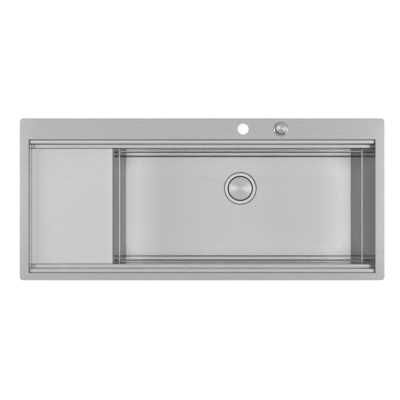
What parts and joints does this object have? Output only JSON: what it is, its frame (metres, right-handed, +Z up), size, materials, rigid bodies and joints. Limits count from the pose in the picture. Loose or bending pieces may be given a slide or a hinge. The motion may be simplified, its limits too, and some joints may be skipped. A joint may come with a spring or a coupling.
{
  "type": "inset kitchen sink with drainer",
  "caption": "Long inset steel sink: flat drainer at the left, one deep rectangular bowl with stepped ledges front and rear, a pop-up waste and its rotary control on the deck",
  "frame": {"origin": "centre of the rim, on the plane where the tape under the rim lies on the worktop", "axes": "+X along the sink to the right, +Y to the rear deck, +Z up"},
  "size_m": [1.16, 0.515, 0.3378],
  "materials": {
    "rim_steel": "brushed along its length",
    "sheet_steel": "brushed along its length",
    "tray_steel": "fine brushed",
    "bowl_steel": "fine brushed",
    "polished_steel": "polished",
    "turned_steel": "turned with fine rings",
    "strainer_steel": "satin",
    "foam": "matt foam tape",
    "pad_rubber": "matt",
    "seal_rubber": "matt",
    "dark_plastic": "moulded",
    "gland_plastic": "moulded",
    "zinc": "zinc plated",
    "machined_steel": "machined"
  },
  "bodies": {
    "sink": {"rim_frame": "rim_steel", "rear_ledge_rail": "sheet_steel", "front_ledge_rail": "sheet_steel", "left_end_panel": "sheet_steel", "bowl_left_end": "sheet_steel", "bowl_right_end": "sheet_steel", "drainer_tray": "tray_steel", "bowl_wrap": "bowl_steel", "waste_flange": "polished_steel", "knob_bezel": "polished_steel", "rim_seal": "foam", "bowl_front_pad": "pad_rubber", "bowl_rear_pad": "pad_rubber", "bowl_left_pad": "pad_rubber", "bowl_right_pad": "pad_rubber", "floor_pad_left": "pad_rubber", "floor_pad_right": "pad_rubber", "drainer_pad": "pad_rubber", "flange_seal": "seal_rubber", "lower_gasket": "seal_rubber", "shaft_seal": "seal_rubber", "control_seal": "seal_rubber", "waste_body": "dark_plastic", "control_housing": "dark_plastic", "control_nut": "dark_plastic", "control_cover": "dark_plastic", "waste_gland": "gland_plastic", "control_gland": "gland_plastic", "fixing_studs": "zinc", "wing_nuts": "zinc", "control_washer": "zinc", "clamp_screw": "machined_steel"},
    "control_knob": {"knob_cap": "turned_steel", "knob_spindle": "machined_steel", "cable_drum": "dark_plastic"},
    "plug": {"plug_cap": "turned_steel", "strainer_basket": "strainer_steel", "plug_stem": "strainer_steel", "plug_seal": "seal_rubber", "lift_pin": "machined_steel"},
    "crank": {"lift_shaft": "gland_plastic", "crank_arm": "gland_plastic", "crank_screw": "machined_steel"},
    "clip_1": {"clip_claw_1": "zinc"},
    "clip_2": {"clip_claw_2": "zinc"},
    "clip_3": {"clip_claw_3": "zinc"},
    "clip_4": {"clip_claw_4": "zinc"},
    "clip_5": {"clip_claw_5": "zinc"},
    "clip_6": {"clip_claw_6": "zinc"},
    "clip_7": {"clip_claw_7": "zinc"},
    "clip_8": {"clip_claw_8": "zinc"}
  },
  "joints": [
    {"name": "knob_turn", "type": "hinge", "parent": "sink", "child": "control_knob", "pos_m": [0.25, 0.2235, 0.015], "axis": [0, 0, -1], "range_deg": [0, 90]},
    {"name": "plug_rise", "type": "slide", "parent": "sink", "child": "plug", "axis": [0, 0, 1], "range_m": [0, 0.008]},
    {"name": "crank_turn", "type": "hinge", "parent": "sink", "child": "crank", "pos_m": [0.14, 0.058, -0.2566], "axis": [-1, 0, 0], "range_deg": [0, 34.85]},
    {"name": "clip_1_swing", "type": "hinge", "parent": "sink", "child": "clip_1", "pos_m": [-0.40464, 0.2395, -0.045], "axis": [0, 0, 1], "range_deg": [0, 90]},
    {"name": "clip_2_swing", "type": "hinge", "parent": "sink", "child": "clip_2", "pos_m": [-0.40464, -0.2395, -0.045], "axis": [0, 0, 1], "range_deg": [0, 90]},
    {"name": "clip_3_swing", "type": "hinge", "parent": "sink", "child": "clip_3", "pos_m": [0, 0.2395, -0.045], "axis": [0, 0, 1], "range_deg": [0, 90]},
    {"name": "clip_4_swing", "type": "hinge", "parent": "sink", "child": "clip_4", "pos_m": [0, -0.2395, -0.045], "axis": [0, 0, 1], "range_deg": [0, 90]},
    {"name": "clip_5_swing", "type": "hinge", "parent": "sink", "child": "clip_5", "pos_m": [0.40464, 0.2395, -0.045], "axis": [0, 0, 1], "range_deg": [0, 90]},
    {"name": "clip_6_swing", "type": "hinge", "parent": "sink", "child": "clip_6", "pos_m": [0.40464, -0.2395, -0.045], "axis": [0, 0, 1], "range_deg": [0, 90]},
    {"name": "clip_7_swing", "type": "hinge", "parent": "sink", "child": "clip_7", "pos_m": [0.562, 0, -0.045], "axis": [0, 0, 1], "range_deg": [0, 90]},
    {"name": "clip_8_swing", "type": "hinge", "parent": "sink", "child": "clip_8", "pos_m": [-0.562, 0, -0.045], "axis": [0, 0, 1], "range_deg": [0, 90]}
  ],
  "couplings": [
    {"joint": "knob_turn", "follows": "plug_rise", "rad_per_m": 196.3},
    {"joint": "crank_turn", "follows": "plug_rise", "rad_per_m": 76}
  ]
}
